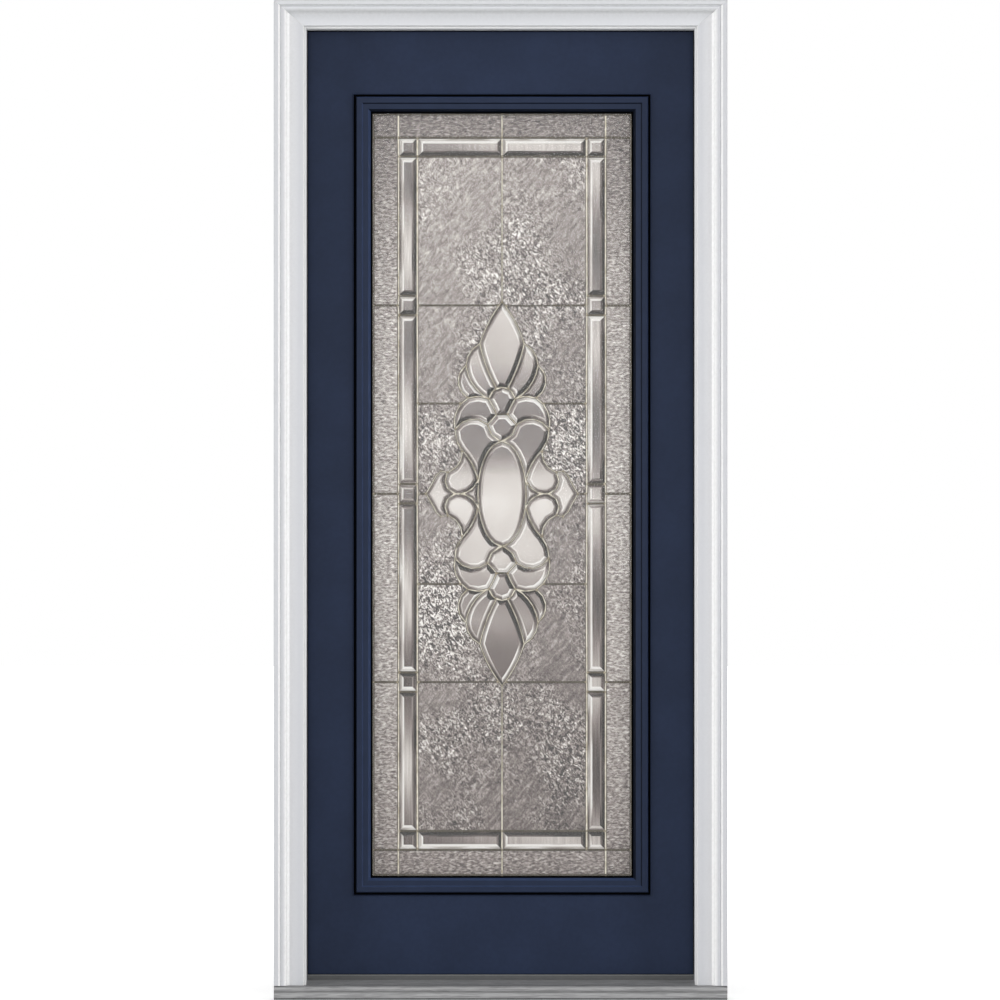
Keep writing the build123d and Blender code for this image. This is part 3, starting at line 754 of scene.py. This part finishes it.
def straight_sides(shape, level_axis, run_axis, slack):
    """Sides of the straight cames: level on one axis against the spans they cover along the other."""
    sides = {}
    for edge in shape.edges:
        start, end = (vert.co for vert in edge.verts)
        level_step = abs(start[level_axis] - end[level_axis])
        span = sorted((start[run_axis], end[run_axis]))
        if level_step < slack and abs(start.y - end.y) < exact and span[1] - span[0] > straight_side:
            level = (start[level_axis] + end[level_axis]) / 2
            sides.setdefault(round(level, 5), []).append(span)
    return sides


def beside(sides, level, along, low, high):
    """Whether a straight side passes the point, between low and high from its level."""
    for side_level, spans in sides.items():
        if low <= side_level - level <= high and any(start <= along <= end for start, end in spans):
            return True
    return False


def came_piece(crest, darker_came, perimeter):
    """The came network with its level cames and its perimeter darker than the rest; the level cames are
    darker as painted shade.

    It is cut where straight cames meet others, so that each run has a material of its own. Then the
    faces that look out or in are raised inside a slanted flank, which gives every came its crown.
    """
    shape = welded("came_network")
    level_sides = straight_sides(shape, level_axis=2, run_axis=0, slack=nearly_level)
    level_cuts = straight_sides(shape, level_axis=2, run_axis=0, slack=exact)
    upright_cuts = straight_sides(shape, level_axis=0, run_axis=2, slack=exact)
    for cuts, normal in ((level_cuts, Vector((0, 0, 1))), (upright_cuts, Vector((1, 0, 0)))):
        for level in cuts:
            everything = shape.verts[:] + shape.edges[:] + shape.faces[:]
            cut = bmesh.ops.bisect_plane(shape, geom=everything, plane_co=normal * level, plane_no=normal)
            for part in cut["geom_cut"]:
                if isinstance(part, bmesh.types.BMEdge):
                    part.seam = True
    bmesh.ops.remove_doubles(shape, verts=shape.verts, dist=exact)
    bmesh.ops.dissolve_degenerate(shape, edges=shape.edges, dist=exact)
    reach_x = (lite_high.x - lite_low.x) / 2 - frame_bar - perimeter_show - same_level
    reach_z = (lite_high.z - lite_low.z) / 2 - frame_bar - perimeter_show - same_level
    middle = (lite_low + lite_high) / 2
    for face in shape.faces:
        at = face.calc_center_median()
        if abs(at.x - middle.x) > reach_x or abs(at.z - middle.z) > reach_z:
            face.material_index = 2
        else:
            below = beside(level_sides, at.z, at.x, -widest_came, same_level)
            above = beside(level_sides, at.z, at.x, -same_level, widest_came)
            heights = [vert.co.z for vert in face.verts]
            runs = [vert.co.x for vert in face.verts]
            slim = max(heights) - min(heights) < widest_came and max(runs) - min(runs) > straight_side
            # Level cames take the second material, darker as painted shade
            if (below and above) or (slim and (below or above)):
                face.material_index = 1
    join_flat_faces(shape)
    for outward in (-1, 1):
        level_faces = [face for face in shape.faces if face.normal.y * outward > square_on]
        bmesh.ops.inset_region(
            shape,
            faces=level_faces,
            thickness=flank_width,
            depth=crest_rise,
            use_boundary=True,
            use_even_offset=True,
        )
    paint(finished(shape, "came_network", edge_sharpness), crest, darker_came, perimeter)


def piece_corners(node):
    """The sharp corners of a node's glass pieces, as points of their inner side."""
    shape = welded(node)
    join_flat_faces(shape)
    inner_y = max(vert.co.y for vert in shape.verts)
    corners = []
    for face in shape.faces:
        if face.normal.y > inner_side and abs(face.verts[0].co.y - inner_y) < same_level:
            points = [vert.co.copy() for vert in face.verts]
            for before, here, after in zip(points[-1:] + points[:-1], points, points[1:] + points[:1]):
                if (here - before).angle(after - here, 0) > math.radians(joint_turn):
                    corners.append(here)
    shape.free()
    return corners


def came_joints():
    """Where cames meet: the middle of each group of neighbouring corners."""
    corners = [corner for node in nodes if node.startswith("glass_") for corner in piece_corners(node)]
    joints = []
    while corners:
        group = [corners.pop()]
        near = [corner for corner in corners if (corner - group[0]).length < joint_reach]
        if near:
            corners = [corner for corner in corners if corner not in near]
            group += near
            joints.append(sum(group, Vector()) / len(group))
    return joints


def solder_joints(material):
    """A low uneven drop of solder on both sides of each joint."""
    dice = random.Random(11)
    shape = bmesh.new()
    for joint in came_joints():
        for face_y in (network_low.y, network_high.y):
            drop = bmesh.ops.create_uvsphere(shape, u_segments=12, v_segments=6, radius=1.0)["verts"]
            size = solder_radius * dice.uniform(0.8, 1.2)
            swell = dice.uniform(0.8, 1.25)
            bmesh.ops.scale(shape, vec=(size * swell, solder_height, size / swell), verts=drop)
            for vert in drop:
                vert.co *= dice.uniform(0.93, 1.07)
            bmesh.ops.translate(shape, vec=(joint.x, face_y, joint.z), verts=drop)
    new_piece("solder_joints", shape, "door", "came_metal", material)


def walls(shape, ring, following):
    """Four-sided faces from one ring of corners to the next."""
    corners = zip(ring, ring[1:] + ring[:1], following[1:] + following[:1], following)
    return [shape.faces.new(four) for four in corners]


def lite_ring(name, section, slot, *materials, painted_highlight_run=None):
    """A mitred ring round the glass: section points are (distance in from the lite frame's edge, depth).

    One run of the section can have the second material on the upright sides.
    """
    shape = bmesh.new()
    rings = []
    for inset, depth in section:
        left, right = lite_low.x + inset, lite_high.x - inset
        bottom, top = lite_low.z + inset, lite_high.z - inset
        corners = ((left, bottom), (right, bottom), (right, top), (left, top))
        rings.append([shape.verts.new((x, depth, z)) for x, z in corners])
    for run, (ring, following) in enumerate(zip(rings, rings[1:] + rings[:1])):
        for index, strip in enumerate(walls(shape, ring, following)):
            if run == painted_highlight_run and index % 2:
                strip.material_index = 1
    new_piece(name, shape, "door", slot, *materials)


def sealant_and_shadow_bead(material):
    """Black sealant in the groove between the frame's lip and its moulding, which also stands for the
    shadow in the groove: partly sealant, partly painted shade.
    """
    middle = (bead_start + bead_end) / 2
    depth = slab_front_y - bead_sink
    section = (
        (bead_start, depth),
        (bead_start, depth - bead_rise * bead_shoulder),
        (middle - bead_crown, depth - bead_rise),
        (middle + bead_crown, depth - bead_rise),
        (bead_end, depth - bead_rise * bead_shoulder),
        (bead_end, depth),
    )
    lite_ring("sealant_and_shadow_bead", section, "glazing_tape", material)


def glazing_gasket(material):
    """Black gasket lip from the outer frame's edge to the face of the outer pane."""
    front = slab_front_y - gasket_rise
    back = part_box("pane_outer")[0].y - glass_gap
    section = (
        (gasket_start, front + gasket_corner),
        (gasket_start + gasket_ease, front),
        (gasket_start + gasket_ease + gasket_thickness, front),
        (gasket_end, back),
        (gasket_end - gasket_thickness, back),
        (gasket_start + gasket_ease, front + gasket_thickness),
    )
    lite_ring("glazing_gasket", section, "glazing_tape", material)


def edge_channel(name, level, outward, darker_came, bright):
    """The channel that edges the leaded panel, with a bright line down its upright sides as a painted
    highlight.
    """
    top = level + outward * channel_rise
    section = (
        (channel_start, level),
        (channel_start, top),
        (channel_line, top),
        (channel_end - channel_ease, top),
        (channel_end, level),
    )
    lite_ring(name, section, "came_metal", darker_came, bright, painted_highlight_run=1)


def disc(shape, at, normal, radius, rise):
    """A low round head on a face, with an eased edge; returns the two directions along the face."""
    side = normal.orthogonal().normalized()
    other = normal.cross(side)
    rings = []
    for size, height in head_profile:
        ring = []
        for index in range(head_sides):
            turn = 2 * math.pi * index / head_sides
            across = side * math.cos(turn) + other * math.sin(turn)
            ring.append(shape.verts.new(at + across * radius * size + normal * rise * height))
        rings.append(ring)
    for ring, following in zip(rings, rings[1:]):
        walls(shape, ring, following)
    shape.faces.new(rings[-1])
    return side, other


def cross_recess(shape, at, normal, side, other, reach):
    """Two dark bars across a screw's head, a painted shadow in its recess."""
    for along, across in ((side, other), (other, side)):
        signs = ((-1, -1), (1, -1), (1, 1), (-1, 1))
        corners = [at + along * reach * a + across * reach * recess_width * b for a, b in signs]
        sunk = [shape.verts.new(corner - normal * recess_depth) for corner in corners]
        raised = [shape.verts.new(corner + normal * recess_lift) for corner in corners]
        shape.faces.new(raised).material_index = 1
        for wall in walls(shape, sunk, raised):
            wall.material_index = 1


def screw(shape, at, normal, radius, rise):
    side, other = disc(shape, at, normal, radius, rise)
    cross_recess(shape, at + normal * rise, normal, side, other, radius * recess_reach)


def hinge_screws(metal, recess):
    """Four screws in each hinge leaf, staggered in two rows."""
    for owner, body, sign in (("jamb", "frame", 1), ("slab", "door", -1)):
        shape = bmesh.new()
        for place_name in ("top", "middle", "bottom"):
            low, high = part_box(f"hinge_leaf_{owner}_{place_name}")
            level = (low.z + high.z) / 2
            for y, z in leaf_screws:
                at = Vector((hinge_axis.x - sign * leaf_gap, low.y + y, level + z))
                screw(shape, at, Vector((sign, 0, 0)), leaf_screw_radius, leaf_screw_rise)
        new_piece(f"hinge_screws_{owner}", shape, body, "hinge_steel", metal, recess)


def spread(low, high, count, margin):
    """Evenly spaced places from low to high, with a margin at both ends as a share of their spacing."""
    spacing = (high - low) / (count - 1 + 2 * margin)
    return [low + spacing * (index + margin) for index in range(count)]


def frame_plugs(paint_material):
    """Round plugs over the screws that clamp the lite frames together, on the inside."""
    shape = bmesh.new()
    left, right = inner_lite_low.x + plug_inset, inner_lite_high.x - plug_inset
    bottom, top = inner_lite_low.z + plug_inset, inner_lite_high.z - plug_inset
    places = [(x, z) for x in (left, right) for z in spread(bottom, top, side_plugs, side_plug_margin)]
    places += [(x, z) for z in (bottom, top) for x in spread(left, right, end_plugs, end_plug_margin)]
    for x, z in places:
        disc(shape, Vector((x, inner_lite_high.y, z)), Vector((0, 1, 0)), plug_radius, plug_rise)
    new_piece("frame_screw_plugs", shape, "door", "painted_lite_frame", paint_material)


def cap_screws(metal, recess):
    """Screws that raise and lower the sill's cap, along its top."""
    shape = bmesh.new()
    span = cap_high.x - cap_low.x
    for share in cap_screw_places:
        at = Vector((cap_low.x + span * share, cap_low.y + cap_screw_back, cap_high.z - cap_screw_drop))
        screw(shape, at, Vector((0, 0, 1)), cap_screw_radius, cap_screw_rise)
    new_piece("cap_screws", shape, "frame", "hinge_steel", metal, recess)


# Stage
def stage():
    """A white floor that keeps the door's shadow and goes over into the white behind it."""
    bpy.ops.mesh.primitive_plane_add(size=floor_size)
    floor = bpy.context.object
    floor.name = "floor"
    made, tree, shader = fresh_material("floor")
    shader.inputs["Base Color"].default_value = colour4(floor_grey)
    shader.inputs["Roughness"].default_value = 0.9
    shader.inputs["Emission Color"].default_value = colour4(white)
    where = add_node(tree, "ShaderNodeVectorMath", Vector=place(tree))
    where.operation = "LENGTH"
    reach = math_node(tree, "MULTIPLY", where.outputs["Value"], 0.1)
    glow = ramp(tree, reach, (0.05, grey(0.35)), (0.5, white))
    seen = tree.nodes.new("ShaderNodeLightPath").outputs["Is Camera Ray"]
    tree.links.new(math_node(tree, "MULTIPLY", glow, seen), shader.inputs["Emission Strength"])
    paint(floor, made)


def world():
    made = bpy.data.worlds.new("studio")
    bpy.context.scene.world = made
    made.use_nodes = True
    tree = made.node_tree
    back = tree.nodes["Background"]
    path = tree.nodes.new("ShaderNodeLightPath")
    seen = math_node(tree, "MAXIMUM", path.outputs["Is Camera Ray"], path.outputs["Is Glossy Ray"])
    seen = math_node(tree, "MAXIMUM", seen, path.outputs["Is Transmission Ray"])
    level = math_node(tree, "MULTIPLY", seen, 1.0 - world_level)
    level = math_node(tree, "ADD", level, world_level)
    back.inputs["Color"].default_value = colour4(white)
    tree.links.new(level, back.inputs["Strength"])


def lamp(name, place_at, size, watts):
    data = bpy.data.lights.new(name, "AREA")
    data.shape = "RECTANGLE"
    data.size = size[0]
    data.size_y = size[1]
    data.energy = watts
    made = bpy.data.objects.new(name, data)
    made.location = place_at
    aim = lamp_target - Vector(place_at)
    made.rotation_euler = aim.to_track_quat("-Z", "Y").to_euler()
    bpy.context.scene.collection.objects.link(made)


def lights():
    lamp("left lamp", (-4.2, -2.2, 1.4), (1.5, 3.0), side_lamp_watts)
    lamp("right lamp", (4.2, -2.2, 1.4), (1.5, 3.0), side_lamp_watts)
    lamp("front lamp", (0, -7.0, 1.8), (4.0, 2.0), front_lamp_watts)
    lamp("back lamp", (0, 4.5, 3.5), (4.0, 2.0), back_lamp_watts)


# Levels of the ground bevels, which the facets' material and the wider bevels use
glass_front_y, glass_edge_y = bevel_levels("glass_border_bevels")
bevel_drop = glass_edge_y - glass_front_y

camera()
stage()
world()
lights()
bpy.context.scene.view_settings.view_transform = "Standard"

fiberglass = painted_fiberglass()
frame_paint = painted_lite_frame()
trim = white_trim("white_trim", casing_white, casing_painted_shade)
# The head casing takes a copy of the trim painted lighter, with lighter painted shade: painted light for
# how light falls on it
head_trim_painted_lighter = white_trim("white_trim_head_painted_light", scaled(casing_white, 1.13), scaled(casing_painted_shade, 1.06))
jamb_paint = white_jamb()
aluminium = sill_aluminium()
cap_composite = sill_cap_composite()
sill_composite = matte(
    "sill_composite",
    scaled(composite_grey, 0.7),
    scaled(composite_grey, 1.3),
    scale=200,
    roughness=0.8,
)
foam = matte(
    "weatherstrip_foam",
    scaled(foam_black, 0.4),
    foam_black,
    scale=500,
    roughness=0.85,
    gloss=0.05,
)
edge_wood = matte(
    "edge_wood",
    wood_dark,
    wood_light,
    scale=60,
    roughness=0.6,
    grain=(6, 6, 0.35),
    depth=0.0003,
)
edge_composite = matte(
    "edge_composite",
    scaled(wood_dark, 0.7),
    wood_dark,
    scale=150,
    roughness=0.7,
)
core_foam = matte(
    "foam",
    scaled(core_cream, 0.85),
    core_cream,
    scale=300,
    roughness=0.9,
    depth=0.0008,
)
tape = matte(
    "glazing_tape",
    scaled(foam_black, 0.2),
    scaled(foam_black, 0.4),
    scale=300,
    roughness=0.95,
    gloss=0.0,
)
came = came_metal("came_metal", champagne, came_flank_patina_and_shade)
# Level cames: the same metal painted darker, a painted shade
shaded_level_came = came_metal("came_metal_level_painted_shade", level_came_painted_shade, scaled(level_came_painted_shade, 0.7))
perimeter_came = came_metal("came_metal_perimeter", perimeter_brown, scaled(perimeter_brown, 0.5))
solder = came_metal("came_metal_solder", solder_gold, scaled(solder_gold, 0.45))
spacer_metal = brushed_metal("spacer_aluminium", steel_grey, roughness=0.35)
hinge_metal = brushed_metal("hinge_steel", steel_grey, roughness=0.3)
recess_shadow_metal = brushed_metal("hinge_steel_recess_shadow", recess_shadow_dark, roughness=0.5)
clear = clear_glass()
field = field_glass()
border = border_glass()
ornament = bevelled_glass("bevelled_glass", ornament_flats, lift=0.30, slant=-0.16)
strips = bevelled_glass("bevelled_glass_strips", strip_flats, lift=0.42, slant=-0.24)

# Each node's material and the radius of its eased edges; a node with radius 0 shows its own mesh
finishes = {
    "sill_block": (sill_composite, 0.001),
    "sill_deck": (aluminium, 0.0004),
    "sill_cap": (cap_composite, 0.0006),
    "hinge_jamb": (jamb_paint, 0.0006),
    "latch_jamb": (jamb_paint, 0.0006),
    "head_jamb": (jamb_paint, 0.0006),
    "casing_left": (trim, 0.0007),
    "casing_right": (trim, 0.0007),
    "casing_head": (head_trim_painted_lighter, 0.0007),
    "weatherstrip_hinge_side": (foam, 0),
    "weatherstrip_latch_side": (foam, 0),
    "weatherstrip_head": (foam, 0),
    "skin_outer": (fiberglass, 0.0006),
    "skin_inner": (fiberglass, 0.0006),
    "stile_hinge": (edge_wood, 0),
    "stile_latch": (edge_wood, 0),
    "rail_top": (edge_wood, 0),
    "rail_bottom": (edge_composite, 0),
    "foam_core": (core_foam, 0),
    "lite_frame_outer": (frame_paint, 0.0006),
    "lite_frame_inner": (frame_paint, 0.0006),
    "pane_outer": (clear, 0),
    "pane_inner": (clear, 0),
    "glazing_tape": (tape, 0),
    "glazing_spacers": (spacer_metal, 0),
    "glass_border": (border, 0),
    "glass_field": (field, 0),
    "door_sweep": (foam, 0),
}
for place_name in ("top", "middle", "bottom"):
    finishes[f"hinge_leaf_jamb_{place_name}"] = (hinge_metal, 0.0005)
    finishes[f"hinge_leaf_slab_{place_name}"] = (hinge_metal, 0.0005)
for node, (material, radius) in finishes.items():
    paint(refined(node, edge_sharpness, radius) if radius else nodes[node], material)

for shape_name in ("buds", "petals", "scrolls", "jewels", "oval", "drops", "wings"):
    paint(refined(f"glass_{shape_name}", facet_sharpness), ornament)
paint(wider_bevels("glass_border_bevels"), strips)

came_piece(came, shaded_level_came, perimeter_came)
solder_joints(solder)
sealant_and_shadow_bead(tape)
glazing_gasket(tape)
edge_channel("edge_channel_outer", network_low.y, -1, perimeter_came, came)
edge_channel("edge_channel_inner", network_high.y, 1, perimeter_came, came)
hinge_screws(hinge_metal, recess_shadow_metal)
frame_plugs(frame_paint)
cap_screws(hinge_metal, recess_shadow_metal)
